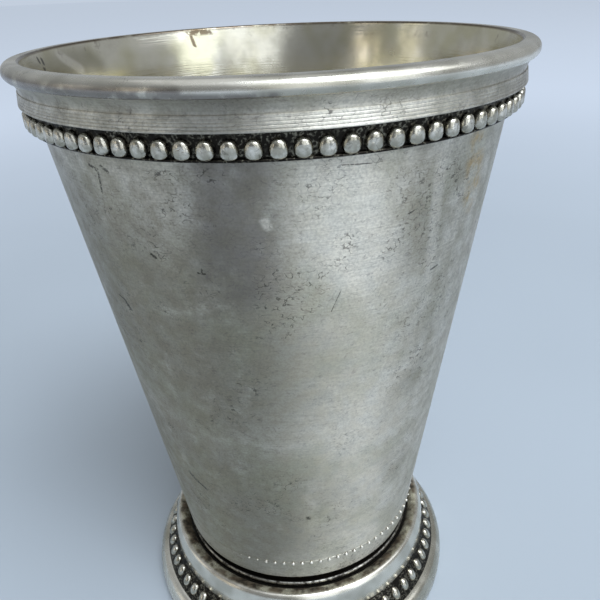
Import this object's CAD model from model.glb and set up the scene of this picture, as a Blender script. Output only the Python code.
import math
import bmesh
import bpy
from mathutils import Matrix, Vector


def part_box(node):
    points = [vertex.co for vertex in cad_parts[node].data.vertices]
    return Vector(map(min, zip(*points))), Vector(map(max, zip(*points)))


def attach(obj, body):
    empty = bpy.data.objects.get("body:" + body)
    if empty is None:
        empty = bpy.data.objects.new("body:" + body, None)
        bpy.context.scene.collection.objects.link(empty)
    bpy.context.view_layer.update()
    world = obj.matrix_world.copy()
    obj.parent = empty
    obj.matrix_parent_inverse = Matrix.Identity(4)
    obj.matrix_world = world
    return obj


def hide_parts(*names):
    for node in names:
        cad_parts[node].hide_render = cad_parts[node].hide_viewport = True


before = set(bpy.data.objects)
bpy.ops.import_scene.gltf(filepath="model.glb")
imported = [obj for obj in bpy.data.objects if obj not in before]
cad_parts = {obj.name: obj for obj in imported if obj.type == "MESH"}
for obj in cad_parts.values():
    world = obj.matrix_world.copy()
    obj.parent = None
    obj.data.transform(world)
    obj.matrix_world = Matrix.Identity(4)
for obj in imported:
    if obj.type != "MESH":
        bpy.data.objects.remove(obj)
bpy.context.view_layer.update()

bl_info = {
    "name": "Beaded Julep Cup",
    "version": (1, 0, 0),
    "blender": (4, 5, 0),
    "location": "3D View > Sidebar > Julep Cup",
    "description": "Builds an aged, silver-plated julep cup piece by piece, and its plain studio",
    "category": "Add Mesh",
}

MM = 0.001


# Colours and small helpers

def colour(code):
    """Linear RGBA of an sRGB hex colour."""
    parts = [int(code[i:i + 2], 16) / 255 for i in (1, 3, 5)]
    linear = [c / 12.92 if c <= 0.04045 else ((c + 0.055) / 1.055) ** 2.4 for c in parts]
    return (*linear, 1.0)


def node(tree, kind, inputs=None, **settings):
    """Adds a node with its settings; an input takes a value, a socket to link from, or a node,
    which stands for its first output."""
    made = tree.nodes.new(kind)
    for name, value in settings.items():
        setattr(made, name, value)
    for name, value in (inputs or {}).items():
        socket = made.inputs[name]
        if isinstance(value, bpy.types.Node):
            value = value.outputs[0]
        if isinstance(value, bpy.types.NodeSocket):
            tree.links.new(value, socket)
        else:
            socket.default_value = value
    return made


def low(name):
    """Height of the lowest point of a CAD node."""
    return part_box(name)[0].z


def high(name):
    """Height of the highest point of a CAD node."""
    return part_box(name)[1].z


def reach(name):
    """Largest radius of a CAD node."""
    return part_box(name)[1].x


# Sizes that the pieces share, read from the frame or set once here

FLOOR_Z = low("cup_wall")
WALL_Z = high("cup_wall")
WALL_TOP_R = reach("cup_wall")
PAN_Z = low("base_pan")
SKIRT_Z = high("base_pan")
LIP_Z = low("lip_wire")
CREST_Z = high("lip_wire")
LIP_OUT_R = reach("lip_wire")
COLLAR_Z = low("rim_collar")
BAND_Z = low("reeded_band")
BAND_R = reach("reeded_band")
STRIP_Z = low("rim_bead_wire")
PLATE_Z = low("neck_ring")
NECK_OUT_R = reach("neck_ring")
MOULDING_TOP_Z = high("foot_ring")
FOOT_SKIRT_R = reach("foot_ring")
CHANNEL_TOP_Z = high("foot_bead_wire")
WIRE_Z = high("foot_base_wire")
WIRE_OUT_R = reach("foot_base_wire")

WALL_T = 0.9 * MM
WALL_FLARE = 0.35 * MM
SKIRT_T = 0.45 * MM
SKIRT_PROUD = 0.05 * MM
BODY_BOTTOM_R = 25.54 * MM
TAPER = (WALL_TOP_R - WALL_FLARE - BODY_BOTTOM_R) / (WALL_Z - PAN_Z)
SKIRT_ROUND = 0.7 * MM
EDGE_EASE = 0.04 * MM
DOT_DROP = 0.25 * MM
DOT_FACETS, DOT_RINGS = 10, 8

LIP_R = 1.3 * MM
MOUTH_ROUND = 0.4 * MM
MOUTH_SLOPE = 0.28
LIP_TURN = 50
HOLLOW_TURN = 60
HOLLOW_STEP = 0.15 * MM
BAND_SLANT = 0.25 * MM
REEDS = 5
REED_DEPTH = 0.09 * MM
REED_SHARPNESS = 5
REED_FADE = 0.7
REED_STEPS = 12

STRIP_T = 1.2 * MM
STRIP_SUNK = 0.25 * MM
LEDGE_H = 0.4 * MM
BEAD_SINK = 0.1 * MM
BEAD_DROP = 1.95 * MM
BEAD_FLAT = 0.2
BEAD_BARREL = 0.25
BEAD_PEAR = -0.18
BEAD_WEAR = 0.08
BEAD_FACETS, BEAD_RINGS = 20, 14

NECK_W = 2.7 * MM
NECK_BEAD_R = 0.5 * MM
NECK_BEAD_REACH = 0.8 * MM
NECK_BEAD_SHARE = 0.2
FOOT_T = 1.0 * MM
SOLE_T = 1.0 * MM
PLATE_HOLE_R = 19.0 * MM
MOULDING_IN_R = NECK_OUT_R + 0.35 * MM
CREST_R = NECK_OUT_R + 2.4 * MM
MOULDING_OUT_R = CREST_R + 1.5 * MM
SHOULDER_Z = CHANNEL_TOP_Z + 1.6 * MM
CHANNEL_W = 2.8 * MM
CHANNEL_H = CHANNEL_TOP_Z - WIRE_Z
CHANNEL_IN_R = FOOT_SKIRT_R - CHANNEL_W
FOOT_BEAD_SINK = 0.1 * MM
FOOT_BEAD_FLAT = 0.1
FOOT_BEAD_BARREL = 0.15
FOOT_BEAD_WEAR = 0.06
WIRE_TOP_R = reach("foot_bead_wire")
WIRE_BELLY_Z = 1.9 * MM
WIRE_ROUND = 0.7 * MM

# The sides on which the dots and the beads are worn down most, as angles from the X axis
DOTS_WORN = math.radians(120)
BEADS_WORN = math.radians(-130)

# The wear starts and is full at these cosines of the angle from the worn side, shifted by chance
WORN_EDGES = (-0.85, -0.4)
WORN_CHANCE = 0.12

# How far a dot or a bead may lean about each axis, in radians
BEAD_LEAN = (0.05, 0.05, 0.03)

# The longest stretches between the points of an outline, and the gap at which points are merged
WALL_STEP = 3 * MM
SKIRT_STEP = 1 * MM
MOUTH_STEP = 0.3 * MM
MERGE_GAP = 0.0005 * MM

# How long the waves of the wall's waver are, and which of its patterns is taken
WAVER_LENGTH = 26 * MM
WAVER_SEED = 3.0

ROOM_TONE = "#a6abb0"
SHADE_TONE = "#7e8286"
BACKDROP_TONE = "#c3cedd"


def cone_r(z):
    """Radius of the body's cone at a height."""
    return BODY_BOTTOM_R + TAPER * (z - PAN_Z)


def wall_r(z):
    """Radius of the wall's outer face at a height, with its flare under the lip."""
    over = max(0.0, z - COLLAR_Z) / (WALL_Z - COLLAR_Z)
    return cone_r(z) + WALL_FLARE * over


# What a user may change

def number(name, description, default, least, most):
    """A whole number with its limits."""
    return bpy.props.IntProperty(
        name=name, description=description, default=default, min=least, max=most)


def length(name, description, default):
    """A length, shown in the scene's unit."""
    return bpy.props.FloatProperty(
        name=name, description=description, default=default, min=0.0, unit="LENGTH")


def paint(name, description, code):
    """A colour, given as an sRGB hex value."""
    return bpy.props.FloatVectorProperty(
        name=name, description=description, default=colour(code),
        size=4, subtype="COLOR", min=0.0, max=1.0)


class JulepSizes(bpy.types.PropertyGroup):
    """Counts and fine sizes of the cup's trim."""

    segments: number("Segments", "Faces round each turned piece", 288, 48, 512)
    waver: length("Waver", "How far the wall strays from a true cone", 0.1 * MM)
    rim_beads: number("Rim beads", "Number of beads round the rim", 88, 12, 160)
    rim_bead_width: length("Rim bead width", "Width of one rim bead", 2.45 * MM)
    rim_bead_height: length("Rim bead height", "Height of one rim bead", 2.65 * MM)
    foot_beads: number("Foot beads", "Number of beads round the foot", 64, 12, 120)
    foot_bead_width: length("Foot bead width", "Width of one foot bead", 2.1 * MM)
    foot_bead_length: length(
        "Foot bead length", "Length of one foot bead down the slope", 2.95 * MM)
    dots: number("Milgrain dots", "Number of dots round the pan's skirt", 92, 24, 240)
    dot_size: length("Dot size", "Width of one milgrain dot", 0.78 * MM)


class JulepColours(bpy.types.PropertyGroup):
    """Colours of the plate, its tarnish and the studio."""

    silver: paint("Silver", "Clean worn silver plate", "#e8e3d6")
    aged: paint("Aged silver", "Plate under a thin film of tarnish", "#979281")
    warm: paint("Warm silver", "Yellowed plate inside the cup and on the foot", "#d0caae")
    olive: paint("Olive tarnish", "Plate under a greenish yellow film", "#aaa98c")
    violet: paint("Violet tarnish", "Plate under an older, violet grey film", "#746d69")
    golden: paint("Golden tarnish", "Plate under its first, amber film", "#d8ba82")
    oxide: paint("Oxide", "Black tarnish left in the hollows", "#25221e")
    copper: paint("Bare copper", "Brown base metal where the plate is worn through", "#54412f")
    floor: paint("Floor", "Pale matt floor", "#adb5bc")


# Outlines of turned pieces: points of radius and height

ARC_STEPS = 14


def arc(middle, half, start, end):
    """Points of an elliptic arc, angles in degrees from the outward side."""
    points = []
    for step in range(ARC_STEPS + 1):
        angle = math.radians(start + (end - start) * step / ARC_STEPS)
        points.append((middle[0] + half[0] * math.cos(angle), middle[1] + half[1] * math.sin(angle)))
    return points


def dense(points, longest):
    """The same outline with no stretch longer than the given length."""
    filled = []
    for a, b in zip(points, points[1:]):
        parts = max(1, math.ceil((Vector(b) - Vector(a)).length / longest))
        filled += [Vector(a).lerp(Vector(b), k / parts) for k in range(parts)]
    return filled + [Vector(points[-1])]


# Geometry Nodes that the pieces are made with

def new_tree(name, inputs):
    """An empty Geometry Nodes tree with one geometry output and the named inputs."""
    tree = bpy.data.node_groups.new(name, "GeometryNodeTree")
    tree.interface.new_socket("Geometry", in_out="OUTPUT", socket_type="NodeSocketGeometry")
    for label, kind in inputs:
        tree.interface.new_socket(label, in_out="INPUT", socket_type="NodeSocket" + kind)
    return tree


def end_tree(tree, geometry, material):
    """The close of every tree: smooth faces, real geometry and one material."""
    smooth = node(tree, "GeometryNodeSetShadeSmooth", {"Geometry": geometry})
    real = node(tree, "GeometryNodeRealizeInstances", {"Geometry": smooth})
    plated = node(tree, "GeometryNodeSetMaterial", {"Geometry": real, "Material": material})
    node(tree, "NodeGroupOutput", {"Geometry": plated})


def turned_tree():
    """Turns a profile, drawn as a mesh line in X and Z, about Z, and lets the form waver."""
    tree = new_tree("Turned form", (
        ("Profile", "Geometry"), ("Segments", "Int"), ("Waver", "Float"),
        ("Waver Length", "Float"), ("Seed", "Float"), ("Material", "Material")))
    given = node(tree, "NodeGroupInput").outputs
    size = node(tree, "GeometryNodeAttributeDomainSize", {"Geometry": given["Profile"]})
    points = size.outputs["Point Count"]
    columns = node(tree, "ShaderNodeMath", {0: given["Segments"], 1: 1.0}, operation="ADD")
    grid = node(tree, "GeometryNodeMeshGrid", {"Vertices X": columns, "Vertices Y": points})
    index = node(tree, "GeometryNodeInputIndex")
    row = node(tree, "ShaderNodeMath", {0: index, 1: points}, operation="MODULO")
    share = node(tree, "ShaderNodeMath", {0: index, 1: points}, operation="DIVIDE")
    column = node(tree, "ShaderNodeMath", {0: share}, operation="FLOOR")
    step = node(tree, "ShaderNodeMath", {0: math.tau, 1: given["Segments"]}, operation="DIVIDE")
    angle = node(tree, "ShaderNodeMath", {0: column, 1: step}, operation="MULTIPLY")
    position = node(tree, "GeometryNodeInputPosition")
    profile_point = node(tree, "GeometryNodeSampleIndex", {
        "Geometry": given["Profile"], "Value": position, "Index": row},
        data_type="FLOAT_VECTOR", domain="POINT")
    turn = node(tree, "ShaderNodeVectorRotate", {
        "Vector": profile_point, "Angle": angle}, rotation_type="Z_AXIS")
    placed = node(tree, "GeometryNodeSetPosition", {
        "Geometry": grid.outputs["Mesh"], "Position": turn})
    closed = node(tree, "GeometryNodeMergeByDistance", {"Geometry": placed, "Distance": MERGE_GAP})
    scale = node(tree, "ShaderNodeMath", {0: 1.0, 1: given["Waver Length"]}, operation="DIVIDE")
    noise = node(tree, "ShaderNodeTexNoise", {
        "Vector": position, "W": given["Seed"], "Scale": scale, "Detail": 1.0},
        noise_dimensions="4D")
    centred = node(tree, "ShaderNodeMath", {0: noise, 1: 0.5}, operation="SUBTRACT")
    amount = node(tree, "ShaderNodeMath", {0: centred, 1: given["Waver"]}, operation="MULTIPLY")
    level = node(tree, "ShaderNodeVectorMath", {0: position, 1: (1, 1, 0)}, operation="MULTIPLY")
    outward = node(tree, "ShaderNodeVectorMath", {0: level}, operation="NORMALIZE")
    offset = node(tree, "ShaderNodeVectorMath", {0: outward, "Scale": amount}, operation="SCALE")
    moved = node(tree, "GeometryNodeSetPosition", {"Geometry": closed, "Offset": offset})
    end_tree(tree, moved, given["Material"])
    return tree


def bead_tree():
    """Sets a row of eggs on a strip and leaves out those that are worn away; each point keeps
    how far it stands out as 'proud'."""
    tree = new_tree("Bead row", (
        ("Strip", "Geometry"), ("Count", "Int"), ("Facets", "Int"), ("Rings", "Int"),
        ("Radius", "Float"), ("Height", "Float"), ("Width", "Float"), ("Length", "Float"),
        ("Tilt", "Float"), ("Pear", "Float"), ("Barrel", "Float"), ("Flat", "Float"),
        ("Wear", "Float"), ("Worn Side", "Float"), ("Seed", "Int"), ("Material", "Material")))
    given = node(tree, "NodeGroupInput").outputs
    position = node(tree, "GeometryNodeInputPosition")
    parts = node(tree, "ShaderNodeSeparateXYZ", {0: position}).outputs
    ball = node(tree, "GeometryNodeMeshUVSphere", {
        "Segments": given["Facets"], "Rings": given["Rings"], "Radius": 1.0})
    marked = node(tree, "GeometryNodeStoreNamedAttribute", {
        "Geometry": ball.outputs["Mesh"], "Name": "proud", "Value": parts[0]},
        data_type="FLOAT", domain="POINT")
    steep = node(tree, "ShaderNodeMath", {
        0: parts[2], 1: given["Barrel"], 2: given["Pear"]}, operation="MULTIPLY_ADD")
    narrowing = node(tree, "ShaderNodeMath", {
        0: parts[2], 1: steep, 2: 1.0}, operation="MULTIPLY_ADD")
    half_width = node(tree, "ShaderNodeMath", {0: given["Width"], 1: 0.5}, operation="MULTIPLY")
    half_length = node(tree, "ShaderNodeMath", {0: given["Length"], 1: 0.5}, operation="MULTIPLY")
    across = node(tree, "ShaderNodeMath", {0: half_width, 1: narrowing}, operation="MULTIPLY")
    squared = node(tree, "ShaderNodeMath", {0: parts[0], 1: 2.0}, operation="POWER")
    pressed = node(tree, "ShaderNodeMath", {0: squared, 1: given["Flat"]}, operation="MULTIPLY")
    kept = node(tree, "ShaderNodeMath", {0: 1.0, 1: pressed}, operation="SUBTRACT")
    outward = node(tree, "ShaderNodeMath", {0: across, 1: kept}, operation="MULTIPLY")
    stretch = node(tree, "ShaderNodeCombineXYZ", {0: outward, 1: across, 2: half_length})
    egg_point = node(tree, "ShaderNodeVectorMath", {0: position, 1: stretch}, operation="MULTIPLY")
    egg = node(tree, "GeometryNodeSetPosition", {"Geometry": marked, "Position": egg_point})
    ring = node(tree, "GeometryNodeMeshCircle", {
        "Vertices": given["Count"], "Radius": given["Radius"]})
    lift = node(tree, "ShaderNodeCombineXYZ", {2: given["Height"]})
    raised = node(tree, "GeometryNodeSetPosition", {
        "Geometry": ring.outputs["Mesh"], "Offset": lift})
    index = node(tree, "GeometryNodeInputIndex")
    step = node(tree, "ShaderNodeMath", {0: math.tau, 1: given["Count"]}, operation="DIVIDE")
    angle = node(tree, "ShaderNodeMath", {0: index, 1: step}, operation="MULTIPLY")
    lean = node(tree, "FunctionNodeRandomValue", {
        "Min": [-most for most in BEAD_LEAN], "Max": BEAD_LEAN, "Seed": given["Seed"]},
        data_type="FLOAT_VECTOR")
    facing = node(tree, "ShaderNodeCombineXYZ", {1: given["Tilt"], 2: angle})
    turn = node(tree, "ShaderNodeVectorMath", {0: facing, 1: lean})
    off_side = node(tree, "ShaderNodeMath", {0: angle, 1: given["Worn Side"]}, operation="SUBTRACT")
    side = node(tree, "ShaderNodeMath", {0: off_side}, operation="COSINE")
    chance = node(tree, "FunctionNodeRandomValue", {
        2: -WORN_CHANCE, 3: WORN_CHANCE, "Seed": given["Seed"]})
    rubbed = node(tree, "ShaderNodeMath", {0: side, 1: chance.outputs[1]})
    share = node(tree, "ShaderNodeMapRange", {
        "Value": rubbed, "From Min": WORN_EDGES[0], "From Max": WORN_EDGES[1]})
    loss = node(tree, "ShaderNodeMath", {0: share, 1: given["Wear"]}, operation="MULTIPLY")
    bulk = node(tree, "ShaderNodeMath", {0: 1.0, 1: loss}, operation="SUBTRACT")
    row = node(tree, "GeometryNodeInstanceOnPoints", {
        "Points": raised, "Instance": egg, "Selection": bulk, "Rotation": turn, "Scale": bulk})
    strip = node(tree, "GeometryNodeStoreNamedAttribute", {
        "Geometry": given["Strip"], "Name": "proud", "Value": -1.0},
        data_type="FLOAT", domain="POINT")
    joined = node(tree, "GeometryNodeJoinGeometry")
    tree.links.new(strip.outputs[0], joined.inputs[0])
    tree.links.new(row.outputs[0], joined.inputs[0])
    end_tree(tree, joined, given["Material"])
    return tree


SHARP_ANGLE = math.radians(38)


def shaped(piece, tree, values):
    """Runs a tree on a piece and keeps the result as its plain mesh."""
    modifier = piece.modifiers.new(tree.name, "NODES")
    modifier.node_group = tree
    for item in tree.interface.items_tree:
        if item.name in values:
            modifier[item.identifier] = values[item.name]
    seen = piece.evaluated_get(bpy.context.evaluated_depsgraph_get())
    mesh = bpy.data.meshes.new_from_object(seen)
    piece.modifiers.remove(modifier)
    rough = piece.data
    piece.data = mesh
    mesh.name = piece.name
    bpy.data.meshes.remove(rough)
    mesh.materials.clear()
    mesh.materials.append(values["Material"])
    for face in mesh.polygons:
        face.material_index = 0


def turned(name, points, look, waver=0.0, closed=True):
    """A new piece turned from an outline, with outward faces, crisp edges and a named finish."""
    line = list(points) + ([points[0]] if closed else [])
    mesh = bpy.data.meshes.new(name)
    mesh.from_pydata([(p[0], 0.0, p[1]) for p in line], [(i, i + 1) for i in range(len(line) - 1)], [])
    piece = bpy.data.objects.new(name, mesh)
    bpy.context.scene.collection.objects.link(piece)
    tree = bpy.data.node_groups.get("Turned form") or turned_tree()
    shaped(piece, tree, {
        "Segments": bpy.context.scene.julep_sizes.segments, "Waver": waver,
        "Waver Length": WAVER_LENGTH, "Seed": WAVER_SEED, "Material": finish(look)})
    form = bmesh.new()
    form.from_mesh(piece.data)
    bmesh.ops.recalc_face_normals(form, faces=form.faces)
    form.to_mesh(piece.data)
    form.free()
    piece.data.set_sharp_from_angle(angle=SHARP_ANGLE)
    return piece


def beaded(piece, look, **values):
    """Adds a row of beads to a strip that has been turned: the values are named for the tree's
    inputs, and one that is left out is nought."""
    tree = bpy.data.node_groups.get("Bead row") or bead_tree()
    labels = {key.replace("_", " ").title(): value for key, value in values.items()}
    shaped(piece, tree, {**labels, "Material": finish(look)})


def line_inside(piece):
    """Gives the faces that look into the cup their own, yellowed finish."""
    piece.data.materials.append(finish(YELLOWED))
    for face in piece.data.polygons:
        middle = face.center
        within = math.hypot(middle.x, middle.y) < wall_r(middle.z) - WALL_T / 2
        if within and middle.z > FLOOR_Z - EDGE_EASE:
            face.material_index = 1


def settle(piece, slot, *nodes):
    """Declares a finished piece: it rides on the cup and stands for its CAD nodes."""
    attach(piece, "root")
    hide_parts(*nodes)


# Metal finishes

SATIN = "Satin silver plate"
YELLOWED = "Yellowed silver plate"
POLISHED = "Polished silver plate"
WORN = "Worn foot plate"
OXIDISED = "Oxidised silver beading"
GRIMED = "Grimed silver neck"

MIX_A, MIX_B, MIX_OUT = 6, 7, 2
SOFT = {"interpolation_type": "SMOOTHSTEP"}

# How much of a mark's reach, and of a speck's, is at full strength
MARK_CORE = 0.3
SPECK_CORE = 0.4


def new_finish(name):
    """A material, its empty node tree, and the point that is shaded, in metres."""
    material = bpy.data.materials.new(name)
    material.use_nodes = True
    tree = material.node_tree
    tree.nodes.clear()
    return material, tree, node(tree, "ShaderNodeTexCoord").outputs["Object"]


def height_of(tree, spot):
    """A point's height."""
    return node(tree, "ShaderNodeSeparateXYZ", {0: spot}).outputs[2]


def radius_of(tree, spot):
    """A point's distance from the cup's axis."""
    level = node(tree, "ShaderNodeVectorMath", {0: spot, 1: (1, 1, 0)}, operation="MULTIPLY")
    radius = node(tree, "ShaderNodeVectorMath", {0: level}, operation="LENGTH")
    return radius.outputs["Value"]


def unrolled_of(tree, spot):
    """A point's place on the unrolled wall: how far round from the front, and how high."""
    parts = node(tree, "ShaderNodeSeparateXYZ", {0: spot}).outputs
    front = node(tree, "ShaderNodeMath", {0: parts[1], 1: -1.0}, operation="MULTIPLY")
    angle = node(tree, "ShaderNodeMath", {0: parts[0], 1: front}, operation="ARCTAN2")
    around = node(tree, "ShaderNodeMath", {
        0: angle, 1: radius_of(tree, spot)}, operation="MULTIPLY")
    return node(tree, "ShaderNodeCombineXYZ", {0: around, 1: parts[2]})


def clouds(tree, spot, size, edges, detail=2.0, stretch=(1, 1, 1)):
    """Patches of a given size, from 0 to 1 between two edges of the noise."""
    mapped = node(tree, "ShaderNodeMapping", {"Vector": spot, "Scale": stretch})
    noise = node(tree, "ShaderNodeTexNoise", {
        "Vector": mapped, "Scale": 1 / size, "Detail": detail, "Roughness": 0.6})
    return node(tree, "ShaderNodeMapRange", {
        "Value": noise, "From Min": edges[0], "From Max": edges[1]}, **SOFT)


def near(tree, value, middle, reach):
    """1 where a value is at the middle, down to 0 at a distance from it."""
    off = node(tree, "ShaderNodeMath", {0: value, 1: middle}, operation="SUBTRACT")
    gap = node(tree, "ShaderNodeMath", {0: off}, operation="ABSOLUTE")
    return node(tree, "ShaderNodeMapRange", {
        "Value": gap, "From Min": reach, "From Max": MARK_CORE * reach}, **SOFT)


def worms(tree, spot, size, thin, stretch=(1, 1, 1)):
    """Thin winding lines, broken up into short bits."""
    field = clouds(tree, spot, size, (0.0, 1.0), detail=1.5, stretch=stretch)
    bits = clouds(tree, spot, 0.7 * size, (0.42, 0.6))
    return both(tree, [near(tree, field, 0.5, thin), bits])


def specks(tree, spot, spacing, share, size):
    """Small round spots, in the given share of the cells of a scatter."""
    scatter = node(tree, "ShaderNodeTexVoronoi", {"Vector": spot, "Scale": 1 / spacing})
    chosen = node(tree, "ShaderNodeMath", {
        0: scatter.outputs["Color"], 1: share}, operation="LESS_THAN")
    inside = node(tree, "ShaderNodeMapRange", {
        "Value": scatter.outputs["Distance"], "From Min": size / spacing,
        "From Max": SPECK_CORE * size / spacing}, **SOFT)
    return both(tree, [chosen, inside])


def stroke(tree, unrolled, start, end, width):
    """A drawn mark between two places of the wall, each an azimuth in degrees and a height."""
    ends = []
    for azimuth, height in (start, end):
        z = height * MM
        ends.append(Vector((math.radians(azimuth) * cone_r(z), z, 0)))
    run = ends[1] - ends[0]
    local = node(tree, "ShaderNodeVectorMath", {0: unrolled, 1: ends[0]}, operation="SUBTRACT")
    along = node(tree, "ShaderNodeVectorMath", {
        0: local, 1: run / run.length_squared}, operation="DOT_PRODUCT")
    held = node(tree, "ShaderNodeClamp", {0: along.outputs["Value"]})
    closest = node(tree, "ShaderNodeVectorMath", {0: run, "Scale": held}, operation="SCALE")
    gap = node(tree, "ShaderNodeVectorMath", {0: local, 1: closest}, operation="DISTANCE")
    return node(tree, "ShaderNodeMapRange", {
        "Value": gap.outputs["Value"], "From Min": width, "From Max": MARK_CORE * width}, **SOFT)


def drawn(tree, unrolled, marks):
    """All the drawn marks of a list as one mask: start, end and width in millimetres."""
    return either(tree, [stroke(tree, unrolled, *ends, width * MM) for *ends, width in marks])


def both(tree, masks):
    """Where all the masks are strong."""
    total = masks[0]
    for mask in masks[1:]:
        total = node(tree, "ShaderNodeMath", {0: total, 1: mask}, operation="MULTIPLY")
    return total


def either(tree, masks):
    """Where one of the masks is strong."""
    total = masks[0]
    for mask in masks[1:]:
        total = node(tree, "ShaderNodeMath", {0: total, 1: mask}, operation="MAXIMUM")
    return total


def layered(tree, base, layers):
    """Paints layers over a base colour: each is a mask, how strong it is, and a colour."""
    for mask, strength, tone in layers:
        share = node(tree, "ShaderNodeMath", {0: mask, 1: strength}, operation="MULTIPLY")
        mix = node(tree, "ShaderNodeMix", {0: share, MIX_A: base, MIX_B: tone}, data_type="RGBA")
        base = mix.outputs[MIX_OUT]
    return base


def end_metal(tree, base, gloss_mask, roughness, height, depth, brushed=0.0, metallic=1.0):
    """The close of every metal: a roughness that runs between two values by a mask, a relief,
    a lengthwise sheen where brushed, and less metal where a stain lies on it."""
    gloss = node(tree, "ShaderNodeMapRange", {
        "Value": gloss_mask, "To Min": roughness[0], "To Max": roughness[1]})
    relief = node(tree, "ShaderNodeBump", {"Height": height, "Distance": depth, "Strength": 1.0})
    shader = node(tree, "ShaderNodeBsdfPrincipled", {
        "Base Color": base, "Metallic": metallic, "Roughness": gloss,
        "Anisotropic": brushed, "Anisotropic Rotation": 0.25, "Normal": relief})
    if brushed:
        grain = node(tree, "ShaderNodeTangent", direction_type="RADIAL", axis="Z")
        tree.links.new(grain.outputs[0], shader.inputs["Tangent"])
    node(tree, "ShaderNodeOutputMaterial", {"Surface": shader})


# Marks, each from one place to another, with a width: the azimuth is in degrees, measured round
# the wall's outer face, and heights and widths are in millimetres

SCARS = (
    ((-43.7, 42.8), (-40.2, 41.4), 0.6),
    ((-40.2, 41.4), (-36.2, 40.4), 0.4),
    ((3.1, 36.7), (3.3, 36.4), 0.6),
    ((-41.1, 103.6), (-38.9, 103.0), 0.35),
    ((-38.7, 103.1), (-39.8, 99.9), 0.28),
    ((-37.4, 103.7), (-35.8, 103.1), 0.35),
    ((-46.4, 81.4), (-44.8, 79.9), 0.45),
    ((-48.5, 81.8), (-46.4, 81.4), 0.25),
    ((-30.2, 91.8), (-29.1, 91.3), 0.35),
    ((-19.1, 89.8), (-17.5, 89.7), 0.22),
    ((-18.0, 90.5), (-18.2, 89.8), 0.18),
    ((12.1, 86.4), (9.9, 83.0), 0.08),
    ((11.1, 104.2), (17.1, 104.0), 0.1),
    ((37.3, 85.6), (39.5, 85.8), 0.25),
    ((26.8, 96.1), (29.0, 96.5), 0.12),
)

# Where short winding lines and dots gather
SCUFFS = (
    ((-24.6, 103.3), (-19.5, 103.4), 1.7),
    ((-14.6, 103.8), (-11.3, 103.3), 1.4),
    ((-24.1, 98.5), (-21.4, 99.2), 1.6),
    ((-29.5, 95.6), (-27.4, 92.2), 2.0),
    ((-18.8, 86.5), (-16.1, 86.6), 1.2),
    ((-46.0, 83.9), (-46.5, 79.8), 2.2),
    ((-4.8, 88.3), (-3.0, 88.4), 1.3),
    ((13.6, 94.0), (12.4, 90.5), 2.0),
    ((12.4, 90.5), (6.0, 89.4), 2.0),
    ((24.0, 100.4), (31.0, 97.4), 3.2),
    ((25.4, 95.0), (23.0, 91.0), 2.4),
    ((33.1, 93.2), (36.7, 86.9), 3.4),
    ((36.0, 101.0), (44.0, 97.0), 3.4),
)

# Where the film is thickest, where it has turned violet or amber, and where it is rubbed away
TARNISHED = (
    ((-75.0, 84.0), (-27.0, 74.0), 33.0),
    ((-75.0, 46.0), (-27.0, 38.0), 33.0),
)
VIOLET = (
    ((-8.0, 108.0), (-10.0, 90.0), 8.5),
)
AMBER = (
    ((46.0, 103.0), (49.6, 95.0), 3.4),
)
RUBBED = (
    ((-3.5, 97.6), (-3.0, 96.9), 0.9),
    ((11.5, 108.0), (15.5, 90.0), 7.0),
    ((33.5, 104.0), (37.0, 84.0), 1.6),
)

# On the roll of the lip, where it is never rubbed
DUSKY = (
    ((-42.0, 113.3), (-16.0, 113.2), 1.6),
    ((-75.0, 113.6), (-38.0, 113.3), 1.4),
    ((-20.0, 113.0), (0.0, 112.8), 1.0),
)

# Inside, just under the lip
DULLED = (
    ((-84.0, 111.0), (-112.0, 111.0), 5.0),
)
BROWN = (
    ((-157.5, 114.3), (-151.0, 114.3), 0.9),
    ((-151.2, 113.6), (-150.6, 111.8), 0.5),
)
BLACK = (
    ((-89.4, 113.9), (-89.2, 113.3), 0.42),
    ((-91.4, 113.6), (-91.0, 112.9), 0.42),
    ((-89.9, 112.2), (-89.6, 112.1), 0.4),
)
BLOOM = (
    ((-101.6, 113.2), (-106.4, 110.8), 1.8),
)


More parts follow.
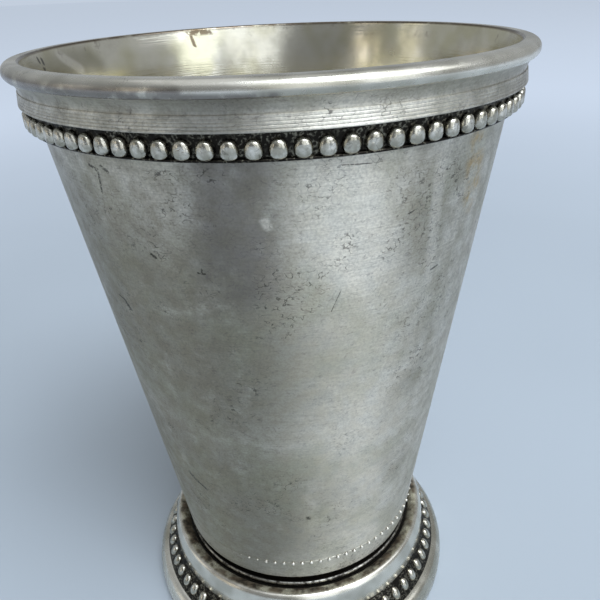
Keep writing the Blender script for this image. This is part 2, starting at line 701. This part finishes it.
def satin_silver():
    """Silver plate brushed round and gone dull: the light smears up and down, over a fine lengthwise
    grain. Tarnish clouds it grey, violet and olive; winding scuffs, pits and scars show dark."""
    colours = bpy.context.scene.julep_colours
    material, tree, spot = new_finish(SATIN)
    height = height_of(tree, spot)
    unrolled = unrolled_of(tree, spot)
    haze = clouds(tree, spot, 19 * MM, (0.5, 0.8))
    olive = clouds(tree, spot, 12 * MM, (0.42, 0.68), detail=3.0)
    mottle = clouds(tree, spot, 2.6 * MM, (0.34, 0.66), detail=7.0)
    grain = clouds(tree, spot, 7 * MM, (0.3, 0.7), detail=4.0, stretch=(1, 1, 45))
    grit = clouds(tree, spot, 0.35 * MM, (0.3, 0.7), detail=2.0)
    patchy = clouds(tree, spot, 4.5 * MM, (0.1, 0.5), detail=6.0)
    film = either(tree, [both(tree, [drawn(tree, unrolled, TARNISHED), patchy]), haze])
    gathered = either(tree, [drawn(tree, unrolled, SCUFFS),
                             clouds(tree, spot, 10 * MM, (0.5, 0.66))])
    scuffs = both(tree, [worms(tree, spot, 1.4 * MM, 0.05, stretch=(1, 1, 1.5)), gathered])
    pits = both(tree, [specks(tree, spot, 1.3 * MM, 0.4, 0.15 * MM), gathered])
    hairs = worms(tree, spot, 2.0 * MM, 0.03, stretch=(1, 1, 2))
    scars = both(tree, [drawn(tree, unrolled, SCARS), clouds(tree, spot, 0.35 * MM, (0.3, 0.55))])
    hollow = near(tree, height, (COLLAR_Z + LIP_Z) / 2 + 0.25 * MM, 1.3 * MM)
    reeds = near(tree, height, (BAND_Z + COLLAR_Z) / 2, 2.4 * MM)
    crevice = near(tree, height, STRIP_Z, 0.15 * MM)
    proud = node(tree, "ShaderNodeAttribute", attribute_name="proud").outputs["Fac"]
    tips = node(tree, "ShaderNodeMapRange", {"Value": proud, "From Min": 0.1, "From Max": 0.6})
    dark = either(tree, [scars, scuffs, pits])
    base = layered(tree, colours.silver, (
        (film, 0.88, colours.aged),
        (olive, 0.4, colours.olive),
        (both(tree, [drawn(tree, unrolled, VIOLET), patchy]), 0.72, colours.violet),
        (reeds, 0.6, colours.silver),
        (hollow, 0.4, colours.aged),
        (mottle, 0.36, colours.aged),
        (drawn(tree, unrolled, RUBBED), 0.75, colours.silver),
        (both(tree, [drawn(tree, unrolled, AMBER), patchy, mottle]), 0.9, colours.golden),
        (grain, 0.3, colours.aged),
        (grit, 0.28, colours.violet),
        (hairs, 0.4, colours.violet),
        (either(tree, [scuffs, pits]), 0.62, colours.oxide),
        (scars, 0.75, colours.oxide),
        (crevice, 1.0, colours.oxide),
        (tips, 1.0, colours.silver),
    ))
    relief = node(tree, "ShaderNodeMath", {0: dark, 1: -1.5, 2: grain}, operation="MULTIPLY_ADD")
    end_metal(tree, base, mottle, (0.4, 0.54), relief, 0.014 * MM, brushed=0.85)
    return material


def inner_silver():
    """Silver plate inside the cup, hand polished and yellowed: a soft mirror with pale bloom,
    a brown stain under the rim and a few black specks."""
    colours = bpy.context.scene.julep_colours
    material, tree, spot = new_finish(YELLOWED)
    height = height_of(tree, spot)
    unrolled = unrolled_of(tree, spot)
    haze = clouds(tree, spot, 10 * MM, (0.35, 0.65))
    bloom = clouds(tree, spot, 6 * MM, (0.35, 0.9), detail=3.0)
    rim = node(tree, "ShaderNodeMapRange", {
        "Value": height, "From Min": WALL_Z - 2.5 * MM, "From Max": WALL_Z + 0.8 * MM}, **SOFT)
    thin = both(tree, [clouds(tree, spot, 2 * MM, (0.55, 0.7), detail=4.0), rim,
                       clouds(tree, spot, 17 * MM, (0.5, 0.6))])
    brown = both(tree, [drawn(tree, unrolled, BROWN), clouds(tree, spot, 0.9 * MM, (0.3, 0.5))])
    black = either(tree, [specks(tree, spot, 5 * MM, 0.08, 0.3 * MM), drawn(tree, unrolled, BLACK)])
    edge = node(tree, "ShaderNodeMapRange", {
        "Value": height, "From Min": CREST_Z - 0.5 * MM, "From Max": CREST_Z - 0.15 * MM}, **SOFT)
    worn_edge = both(tree, [edge, clouds(tree, spot, 4 * MM, (0.2, 0.5), detail=4.0)])
    rub = clouds(tree, spot, 8 * MM, (0.3, 0.7), detail=3.0, stretch=(1, 1, 30))
    base = layered(tree, colours.warm, (
        (haze, 0.8, colours.silver),
        (bloom, 0.5, colours.aged),
        (drawn(tree, unrolled, DULLED), 0.6, colours.aged),
        (drawn(tree, unrolled, BLOOM), 0.6, colours.silver),
        (thin, 0.45, colours.copper),
        (brown, 0.85, colours.copper),
        (black, 0.9, colours.oxide),
        (worn_edge, 0.9, colours.copper),
    ))
    end_metal(tree, base, bloom, (0.16, 0.32), rub, 0.005 * MM)
    return material


def polished_silver():
    """Silver plate polished on the lathe and worn by hands: soft highlights, fine turning
    lines, faintly clouded with dull grey."""
    colours = bpy.context.scene.julep_colours
    material, tree, spot = new_finish(POLISHED)
    haze = clouds(tree, spot, 11 * MM, (0.35, 0.65))
    dull = clouds(tree, spot, 2.6 * MM, (0.4, 0.75), detail=4.0, stretch=(1, 1, 2))
    turning = clouds(tree, spot, 8 * MM, (0.25, 0.75), detail=3.0, stretch=(1, 1, 40))
    nicks = both(tree, [worms(tree, spot, 1.6 * MM, 0.03), clouds(tree, spot, 8 * MM, (0.58, 0.7))])
    dusk = both(tree, [drawn(tree, unrolled_of(tree, spot), DUSKY),
                       clouds(tree, spot, 3 * MM, (0.25, 0.55), detail=6.0)])
    base = layered(tree, colours.silver, (
        (haze, 0.7, colours.aged),
        (dull, 0.25, colours.aged),
        (turning, 0.12, colours.aged),
        (dusk, 0.8, colours.violet),
        (nicks, 0.4, colours.oxide),
    ))
    end_metal(tree, base, dull, (0.24, 0.36), turning, 0.006 * MM)
    return material


def foot_silver():
    """Silver plate of the foot: clean and bright on the outer slope, yellow on the inner one, and
    rubbed through to brown copper in a ragged line inside the crest."""
    colours = bpy.context.scene.julep_colours
    material, tree, spot = new_finish(WORN)
    radius = radius_of(tree, spot)
    inner = node(tree, "ShaderNodeMapRange", {
        "Value": radius, "From Min": CREST_R + 0.3 * MM, "From Max": CREST_R - 0.4 * MM}, **SOFT)
    worn_line = near(tree, radius, CREST_R - 1.0 * MM, 1.7 * MM)
    grime = node(tree, "ShaderNodeMapRange", {
        "Value": radius, "From Min": MOULDING_IN_R + 0.16 * MM, "From Max": MOULDING_IN_R}, **SOFT)
    haze = clouds(tree, spot, 7 * MM, (0.35, 0.7))
    ragged = clouds(tree, spot, 2.8 * MM, (0.36, 0.58), detail=7.0)
    black = clouds(tree, spot, 1.2 * MM, (0.42, 0.6), detail=6.0)
    worn = both(tree, [ragged, worn_line])
    scale = node(tree, "ShaderNodeMath", {0: worn, 1: inner}, operation="MAXIMUM")
    metal = node(tree, "ShaderNodeMapRange", {"Value": scale, "To Min": 1.0, "To Max": 0.6})
    base = layered(tree, colours.silver, (
        (haze, 0.5, colours.aged),
        (inner, 0.85, colours.warm),
        (both(tree, [inner, haze]), 0.6, colours.aged),
        (worn, 0.85, colours.copper),
        (both(tree, [worn, black]), 0.8, colours.oxide),
        (grime, 1.0, colours.oxide),
    ))
    end_metal(tree, base, worn, (0.24, 0.5), worn, 0.02 * MM, metallic=metal)
    return material


def oxidised_silver():
    """Silver beading with black oxide left in its hollows: worn tips, clouded and nicked, on a
    gritty dark ground."""
    colours = bpy.context.scene.julep_colours
    material, tree, spot = new_finish(OXIDISED)
    proud = node(tree, "ShaderNodeAttribute", attribute_name="proud").outputs["Fac"]
    grit = clouds(tree, spot, 0.5 * MM, (0.3, 0.7), detail=3.0)
    cloudy = clouds(tree, spot, 1.2 * MM, (0.2, 0.65), detail=3.0)
    nicks = worms(tree, spot, 1.3 * MM, 0.05)
    rubbed = both(tree, [worms(tree, spot, 0.7 * MM, 0.14), clouds(tree, spot, 2.5 * MM, (0.3, 0.55))])
    tip = node(tree, "ShaderNodeMath", {0: grit, 1: 0.5, 2: proud}, operation="MULTIPLY_ADD")
    bright = node(tree, "ShaderNodeMapRange", {
        "Value": tip, "From Min": 0.05, "From Max": 0.8}, **SOFT)
    base = layered(tree, colours.oxide, (
        (rubbed, 0.6, colours.aged),
        (bright, 0.92, colours.silver),
        (both(tree, [bright, cloudy]), 0.85, colours.aged),
        (nicks, 0.4, colours.oxide),
    ))
    end_metal(tree, base, bright, (0.4, 0.2), cloudy, 0.035 * MM)
    return material


def groove_silver():
    """Silver of the neck, black with old polish and grime but for the rubbed edge of its bead."""
    colours = bpy.context.scene.julep_colours
    material, tree, spot = new_finish(GRIMED)
    radius = radius_of(tree, spot)
    edge = node(tree, "ShaderNodeMapRange", {
        "Value": radius, "From Min": NECK_OUT_R - 0.4 * MM, "From Max": NECK_OUT_R - 0.05 * MM}, **SOFT)
    grit = clouds(tree, spot, 0.8 * MM, (0.3, 0.7), detail=3.0)
    rubbed = both(tree, [edge, grit])
    base = layered(tree, colours.oxide, ((rubbed, 0.75, colours.silver),))
    end_metal(tree, base, rubbed, (0.45, 0.25), grit, 0.01 * MM)
    return material


FINISHES = {
    SATIN: satin_silver, YELLOWED: inner_silver, POLISHED: polished_silver,
    WORN: foot_silver, OXIDISED: oxidised_silver, GRIMED: groove_silver,
}


def finish(name):
    """The named finish, made when first asked for."""
    return bpy.data.materials.get(name) or FINISHES[name]()


# The pieces

class JULEP_OT_body(bpy.types.Operator):
    """Builds the tapered wall of the cup and the pan that closes its lower end"""

    bl_idname = "julep.body"
    bl_label = "Body"

    def execute(self, context):
        sizes = context.scene.julep_sizes
        seat = SKIRT_T - SKIRT_PROUD
        outer = dense([
            (cone_r(SKIRT_Z), SKIRT_Z), (wall_r(COLLAR_Z), COLLAR_Z), (WALL_TOP_R, WALL_Z)],
            WALL_STEP)
        inner = dense([
            (WALL_TOP_R - WALL_T, WALL_Z), (wall_r(COLLAR_Z) - WALL_T, COLLAR_Z),
            (cone_r(FLOOR_Z) - WALL_T, FLOOR_Z)], WALL_STEP)
        lap = [(cone_r(FLOOR_Z) - seat, FLOOR_Z), (cone_r(SKIRT_Z) - seat, SKIRT_Z)]
        wall = turned("wall", [*lap, *outer, *inner], SATIN, sizes.waver)
        line_inside(wall)
        settle(wall, "satin_silver", "cup_wall")

        turn_r = cone_r(PAN_Z + SKIRT_ROUND) + SKIRT_PROUD - SKIRT_ROUND * math.hypot(1, TAPER)
        turn = arc((turn_r, PAN_Z + SKIRT_ROUND), (SKIRT_ROUND, SKIRT_ROUND),
                   -90, -math.degrees(math.atan(TAPER)))
        skirt = dense([turn[-1], (cone_r(SKIRT_Z) + SKIRT_PROUD, SKIRT_Z - EDGE_EASE)], SKIRT_STEP)
        floor_line = dense([(cone_r(FLOOR_Z) - seat, FLOOR_Z), (0, FLOOR_Z)], WALL_STEP)
        under = dense([(0, PAN_Z), turn[0]], WALL_STEP)
        rim = [(cone_r(SKIRT_Z) + SKIRT_PROUD - EDGE_EASE, SKIRT_Z), (cone_r(SKIRT_Z) - seat, SKIRT_Z)]
        pan = turned("pan", [*under, *turn[1:], *skirt[1:], *rim, *floor_line],
                     SATIN, sizes.waver, closed=False)
        dot_z = SKIRT_Z - DOT_DROP
        beaded(pan, SATIN, count=sizes.dots, facets=DOT_FACETS, rings=DOT_RINGS,
               radius=cone_r(dot_z) + 2 * SKIRT_PROUD, height=dot_z, width=sizes.dot_size,
               length=sizes.dot_size, wear=1.0, worn_side=DOTS_WORN, seed=5)
        line_inside(pan)
        settle(pan, "satin_silver", "base_pan")
        return {"FINISHED"}


class JULEP_OT_lip(bpy.types.Operator):
    """Builds the rolled lip and the hollow moulding under it"""

    bl_idname = "julep.lip"
    bl_label = "Lip and hollow"

    def execute(self, context):
        turn = math.radians(LIP_TURN)
        crest_r = LIP_OUT_R - LIP_R
        belly_z = CREST_Z - LIP_R
        inner_r = WALL_TOP_R - WALL_T
        mouth_z = CREST_Z - MOUTH_ROUND
        mouth_r = inner_r + MOUTH_SLOPE * (mouth_z - WALL_Z)
        lip = turned("lip", [
            (WALL_TOP_R, WALL_Z), (wall_r(LIP_Z), LIP_Z),
            *arc((crest_r, belly_z), (LIP_R, (belly_z - LIP_Z) / math.sin(turn)), -LIP_TURN, 0),
            *arc((crest_r, belly_z), (LIP_R, LIP_R), 0, 90)[1:],
            *arc((mouth_r + MOUTH_ROUND, mouth_z), (MOUTH_ROUND, MOUTH_ROUND), 90, 180),
            *dense([(mouth_r, mouth_z), (inner_r, WALL_Z)], MOUTH_STEP)[1:],
        ], POLISHED)
        line_inside(lip)
        settle(lip, "polished_silver", "lip_wire")

        sweep_turn = math.radians(HOLLOW_TURN)
        foot_r = BAND_R - BAND_SLANT - HOLLOW_STEP
        half_w = (crest_r + LIP_R * math.cos(turn) - foot_r) / (1 - math.cos(sweep_turn))
        half_h = (LIP_Z - COLLAR_Z) / math.sin(sweep_turn)
        collar = turned("hollow", [
            (wall_r(LIP_Z), LIP_Z), (wall_r(COLLAR_Z), COLLAR_Z),
            *arc((foot_r + half_w, COLLAR_Z), (-half_w, half_h), 0, HOLLOW_TURN),
        ], SATIN)
        settle(collar, "satin_silver", "rim_collar")
        return {"FINISHED"}


class JULEP_OT_band(bpy.types.Operator):
    """Builds the band of fine turned reeds"""

    bl_idname = "julep.band"
    bl_label = "Reeded band"

    def execute(self, context):
        steps = REEDS * REED_STEPS
        face = []
        for i in range(steps + 1):
            z = BAND_Z + (COLLAR_Z - BAND_Z) * i / steps
            up = i / steps
            groove = (0.5 + 0.5 * math.cos(math.tau * i / REED_STEPS)) ** REED_SHARPNESS
            depth = REED_DEPTH * groove * (1 - REED_FADE * up)
            face.append((BAND_R - BAND_SLANT * up - depth, z))
        band = turned("band", [
            (wall_r(COLLAR_Z), COLLAR_Z), (wall_r(BAND_Z), BAND_Z), *face,
        ], SATIN)
        settle(band, "satin_silver", "reeded_band")
        return {"FINISHED"}


class JULEP_OT_rim_beads(bpy.types.Operator):
    """Builds the strip of beads round the rim"""

    bl_idname = "julep.rim_beads"
    bl_label = "Rim beads"

    def execute(self, context):
        sizes = context.scene.julep_sizes
        ledge_z = STRIP_Z + LEDGE_H / 2
        ledge = arc((cone_r(ledge_z) + STRIP_T, ledge_z), (LEDGE_H / 2, LEDGE_H / 2), -90, 90)
        ground_t = STRIP_T - STRIP_SUNK
        bead_z = BAND_Z - BEAD_DROP
        strip = turned("rim_beads", [
            (wall_r(BAND_Z), BAND_Z), (wall_r(STRIP_Z), STRIP_Z), *ledge,
            (cone_r(STRIP_Z + LEDGE_H) + ground_t, STRIP_Z + LEDGE_H),
            (cone_r(BAND_Z) + ground_t, BAND_Z),
        ], OXIDISED)
        beaded(strip, OXIDISED, count=sizes.rim_beads, facets=BEAD_FACETS, rings=BEAD_RINGS,
               radius=cone_r(bead_z) + STRIP_T - BEAD_SINK, height=bead_z,
               width=sizes.rim_bead_width, length=sizes.rim_bead_height, tilt=math.atan(TAPER),
               pear=BEAD_PEAR, barrel=BEAD_BARREL, flat=BEAD_FLAT, wear=BEAD_WEAR,
               worn_side=BEADS_WORN, seed=2)
        settle(strip, "oxidised_silver", "rim_bead_wire")
        return {"FINISHED"}


class JULEP_OT_foot(bpy.types.Operator):
    """Builds the neck, the spun foot and the wire that it stands on"""

    bl_idname = "julep.foot"
    bl_label = "Foot"

    def execute(self, context):
        neck_r = NECK_OUT_R - NECK_BEAD_REACH
        bead_z = PLATE_Z + NECK_BEAD_R + NECK_BEAD_SHARE * (PAN_Z - PLATE_Z - 2 * NECK_BEAD_R)
        ring_bead = arc((NECK_OUT_R - NECK_BEAD_R, bead_z), (NECK_BEAD_R, NECK_BEAD_R), -90, 90)
        neck = turned("neck", [
            (neck_r - NECK_W, PAN_Z), (neck_r - NECK_W, PLATE_Z), (neck_r, PLATE_Z),
            (neck_r, bead_z - NECK_BEAD_R), *ring_bead, (neck_r, bead_z + NECK_BEAD_R), (neck_r, PAN_Z),
        ], GRIMED)
        settle(neck, "polished_silver", "neck_ring")

        inner_half = (CREST_R - MOULDING_IN_R, MOULDING_TOP_Z - PLATE_Z)
        outer_half = (MOULDING_OUT_R - CREST_R, MOULDING_TOP_Z - SHOULDER_Z)
        sheet_w = FOOT_T * math.hypot(CHANNEL_W, CHANNEL_H) / CHANNEL_H
        foot = turned("foot", [
            (PLATE_HOLE_R, PLATE_Z), (PLATE_HOLE_R, PLATE_Z - FOOT_T),
            *arc((CREST_R, PLATE_Z - FOOT_T), (inner_half[0] - FOOT_T, inner_half[1]), 180, 90),
            *arc((CREST_R, SHOULDER_Z), (outer_half[0] - FOOT_T, outer_half[1] - FOOT_T), 90, 0)[1:],
            (CHANNEL_IN_R - sheet_w, CHANNEL_TOP_Z), (FOOT_SKIRT_R - sheet_w, WIRE_Z),
            (FOOT_SKIRT_R - FOOT_T, SOLE_T), (FOOT_SKIRT_R, SOLE_T), (FOOT_SKIRT_R, WIRE_Z),
            (CHANNEL_IN_R, CHANNEL_TOP_Z), (MOULDING_OUT_R, CHANNEL_TOP_Z),
            *arc((CREST_R, SHOULDER_Z), outer_half, 0, 90),
            *arc((CREST_R, PLATE_Z), inner_half, 90, 180)[1:],
        ], WORN)
        settle(foot, "polished_silver", "foot_ring")

        sole_r = FOOT_SKIRT_R - FOOT_T
        wire = turned("foot_wire", [
            (FOOT_SKIRT_R, SOLE_T), (FOOT_SKIRT_R, WIRE_Z),
            *arc((WIRE_TOP_R, WIRE_BELLY_Z), (WIRE_OUT_R - WIRE_TOP_R, WIRE_Z - WIRE_BELLY_Z), 90, 0),
            *arc((WIRE_OUT_R - WIRE_ROUND, WIRE_ROUND), (WIRE_ROUND, WIRE_ROUND), 0, -90),
            (sole_r, 0), (sole_r, SOLE_T),
        ], POLISHED)
        settle(wire, "polished_silver", "foot_base_wire")
        return {"FINISHED"}


class JULEP_OT_foot_beads(bpy.types.Operator):
    """Builds the strip of beads that lies on the slope of the foot"""

    bl_idname = "julep.foot_beads"
    bl_label = "Foot beads"

    def execute(self, context):
        sizes = context.scene.julep_sizes
        slope = math.atan2(CHANNEL_W, CHANNEL_H)
        strip_w = WIRE_TOP_R - FOOT_SKIRT_R
        face_r = (CHANNEL_IN_R + FOOT_SKIRT_R) / 2 + strip_w
        strip = turned("foot_beads", [
            (CHANNEL_IN_R, CHANNEL_TOP_Z), (FOOT_SKIRT_R, WIRE_Z), (WIRE_TOP_R, WIRE_Z),
            (CHANNEL_IN_R + strip_w, CHANNEL_TOP_Z),
        ], OXIDISED)
        beaded(strip, OXIDISED, count=sizes.foot_beads, facets=BEAD_FACETS, rings=BEAD_RINGS,
               radius=face_r - FOOT_BEAD_SINK * math.cos(slope),
               height=(CHANNEL_TOP_Z + WIRE_Z) / 2 - FOOT_BEAD_SINK * math.sin(slope),
               width=sizes.foot_bead_width, length=sizes.foot_bead_length, tilt=-slope,
               barrel=FOOT_BEAD_BARREL, flat=FOOT_BEAD_FLAT, wear=FOOT_BEAD_WEAR,
               worn_side=BEADS_WORN, seed=8)
        settle(strip, "oxidised_silver", "foot_bead_wire")
        return {"FINISHED"}


# The studio

CAMERA_SPOT = (0.0, -0.10591, 0.12383)
CAMERA_PITCH = math.radians(28.2855)
CAMERA_YAW = math.radians(1.3777)
CAMERA_ROLL = math.radians(-2.6244)
CAMERA_LENS = 35.98
SENSOR = 36.0
CLIP_START = 0.005

# The floor, in metres: it turns from paper to backdrop between two distances from the cup
FLOOR_HALF = 6.0
FLOOR_CLOUD = 0.18
FAR_EDGES = (0.12, 0.7)
FAR_GLOW = 0.78

# Name, azimuth and elevation in degrees, distance, width and height in metres, radiance, colour
LAMPS = (
    ("window_left", 12, 34, 1.6, 0.85, 2.2, 1.05, "#eef5fb"),
    ("window_right", 45, 34, 1.6, 0.66, 2.2, 1.7, "#ecf5ff"),
    ("high_window", 31, 62, 1.6, 0.7, 0.9, 7.2, "#e6f1ff"),
    ("bright_wall", 68, 50, 1.6, 0.9, 1.1, 2.1, "#f0f6ff"),
    ("doorway", -55, 14, 1.4, 0.14, 0.7, 1.3, "#fff6e6"),
    ("door_gap", -64, 14, 1.4, 0.06, 0.7, 1.0, "#fff6e6"),
    ("shelf", -86, 14, 1.4, 0.32, 0.7, 0.6, "#fffaf0"),
    ("ceiling", 0, 90, 2.0, 2.4, 2.4, 0.3, "#f2f7ff"),
)

# The darker side of the room: its azimuth, and the cosines of the angles from it at which it
# starts and is darkest
SHADE_AZIMUTH = math.radians(-32)
SHADE_EDGES = (0.55, 0.97)


def dimmed(tone, share):
    """A darker version of a colour, as opaque as it is."""
    return [share * part for part in tone[:3]] + [1.0]


def matt_floor():
    """Pale matt paper: no gloss, a faint unevenness, and a glow of its own further off."""
    material, tree, spot = new_finish("Matt pale floor")
    cloud = clouds(tree, spot, FLOOR_CLOUD, (0.3, 0.7))
    shade = bpy.context.scene.julep_colours.floor
    far = node(tree, "ShaderNodeMapRange", {
        "Value": radius_of(tree, spot), "From Min": FAR_EDGES[0], "From Max": FAR_EDGES[1]}, **SOFT)
    base = layered(tree, shade, (
        (cloud, 0.5, dimmed(shade, 0.92)),
        (far, 1.0, dimmed(colour(BACKDROP_TONE), 0.35)),
    ))
    rays = node(tree, "ShaderNodeLightPath").outputs
    seen = node(tree, "ShaderNodeMath", {0: rays["Is Camera Ray"], 1: rays["Is Glossy Ray"]})
    paper = node(tree, "ShaderNodeBsdfPrincipled", {
        "Base Color": base, "Roughness": 0.95, "Specular IOR Level": 0.1,
        "Emission Color": colour(BACKDROP_TONE),
        "Emission Strength": both(tree, [seen, far, FAR_GLOW])})
    node(tree, "ShaderNodeOutputMaterial", {"Surface": paper})
    return material


def aim(azimuth, elevation, distance):
    """A lamp's place round the cup, and its turn towards the cup."""
    az, el = math.radians(azimuth), math.radians(elevation)
    away = Vector((math.sin(az) * math.cos(el), -math.cos(az) * math.cos(el), math.sin(el)))
    return Matrix.Translation(away * distance) @ away.to_track_quat("Z", "Y").to_matrix().to_4x4()


class JULEP_OT_studio(bpy.types.Operator):
    """Sets the floor, the lamps, the world and the camera"""

    bl_idname = "julep.studio"
    bl_label = "Studio"

    def execute(self, context):
        scene = context.scene
        mesh = bpy.data.meshes.new("floor")
        corners = [(x * FLOOR_HALF, y * FLOOR_HALF, 0) for x, y in ((-1, -1), (1, -1), (1, 1), (-1, 1))]
        mesh.from_pydata(corners, [], [(0, 1, 2, 3)])
        mesh.materials.append(matt_floor())
        ground = bpy.data.objects.new("floor", mesh)
        scene.collection.objects.link(ground)

        for name, azimuth, elevation, distance, width, height, radiance, tone in LAMPS:
            lamp = bpy.data.lights.new(name, "AREA")
            lamp.shape = "RECTANGLE"
            lamp.size, lamp.size_y = width, height
            lamp.energy = radiance * math.pi * width * height
            lamp.color = colour(tone)[:3]
            stand = bpy.data.objects.new(name, lamp)
            stand.matrix_world = aim(azimuth, elevation, distance)
            stand.visible_camera = False
            scene.collection.objects.link(stand)

        world = bpy.data.worlds.new("Room")
        world.use_nodes = True
        tree = world.node_tree
        tree.nodes.clear()
        seen = node(tree, "ShaderNodeLightPath").outputs["Is Camera Ray"]
        direction = node(tree, "ShaderNodeTexCoord").outputs["Generated"]
        dark_way = (math.sin(SHADE_AZIMUTH), -math.cos(SHADE_AZIMUTH), 0)
        nearness = node(tree, "ShaderNodeVectorMath", {0: direction, 1: dark_way},
                        operation="DOT_PRODUCT")
        shade = node(tree, "ShaderNodeMapRange", {
            "Value": nearness.outputs["Value"], "From Min": SHADE_EDGES[0],
            "From Max": SHADE_EDGES[1]}, **SOFT)
        air = layered(tree, colour(ROOM_TONE), (
            (shade, 1.0, colour(SHADE_TONE)),
            (seen, 1.0, colour(BACKDROP_TONE)),
        ))
        glow = node(tree, "ShaderNodeBackground", {"Color": air})
        node(tree, "ShaderNodeOutputWorld", {"Surface": glow})
        scene.world = world

        forward = Vector((math.sin(CAMERA_YAW) * math.cos(CAMERA_PITCH),
                          math.cos(CAMERA_YAW) * math.cos(CAMERA_PITCH), -math.sin(CAMERA_PITCH)))
        side = Vector((math.cos(CAMERA_YAW), -math.sin(CAMERA_YAW), 0))
        up = side.cross(forward)
        right = side * math.cos(CAMERA_ROLL) + up * math.sin(CAMERA_ROLL)
        up = up * math.cos(CAMERA_ROLL) - side * math.sin(CAMERA_ROLL)
        lens = bpy.data.cameras.new("camera")
        lens.lens = CAMERA_LENS
        lens.sensor_width = SENSOR
        lens.clip_start = CLIP_START
        eye = bpy.data.objects.new("camera", lens)
        turn = Matrix((right, up, -forward)).transposed().to_4x4()
        eye.matrix_world = Matrix.Translation(CAMERA_SPOT) @ turn
        scene.collection.objects.link(eye)
        scene.camera = eye
        scene.view_settings.view_transform = "Standard"
        return {"FINISHED"}


# The add-on

PIECES = (JULEP_OT_body, JULEP_OT_lip, JULEP_OT_band, JULEP_OT_rim_beads, JULEP_OT_foot,
          JULEP_OT_foot_beads, JULEP_OT_studio)


class JULEP_PT_panel(bpy.types.Panel):
    """Lists the cup's sizes, colours and pieces"""

    bl_idname = "JULEP_PT_panel"
    bl_label = "Julep Cup"
    bl_space_type = "VIEW_3D"
    bl_region_type = "UI"
    bl_category = "Julep Cup"

    def draw(self, context):
        for group in (context.scene.julep_sizes, context.scene.julep_colours):
            box = self.layout.box()
            for name in group.__annotations__:
                box.prop(group, name)
        for piece in PIECES:
            self.layout.operator(piece.bl_idname)


CLASSES = (JulepSizes, JulepColours, *PIECES, JULEP_PT_panel)


def register():
    """Registers the classes and gives the scene its sizes and colours."""
    for cls in CLASSES:
        bpy.utils.register_class(cls)
    bpy.types.Scene.julep_sizes = bpy.props.PointerProperty(type=JulepSizes)
    bpy.types.Scene.julep_colours = bpy.props.PointerProperty(type=JulepColours)


def unregister():
    """Takes the classes and the scene's sizes and colours away again."""
    del bpy.types.Scene.julep_colours
    del bpy.types.Scene.julep_sizes
    for cls in reversed(CLASSES):
        bpy.utils.unregister_class(cls)


def main():
    """Builds the cup and its studio."""
    register()
    for piece in PIECES:
        getattr(bpy.ops.julep, piece.bl_idname.split(".")[1])()


if __name__ == "__main__":
    main()
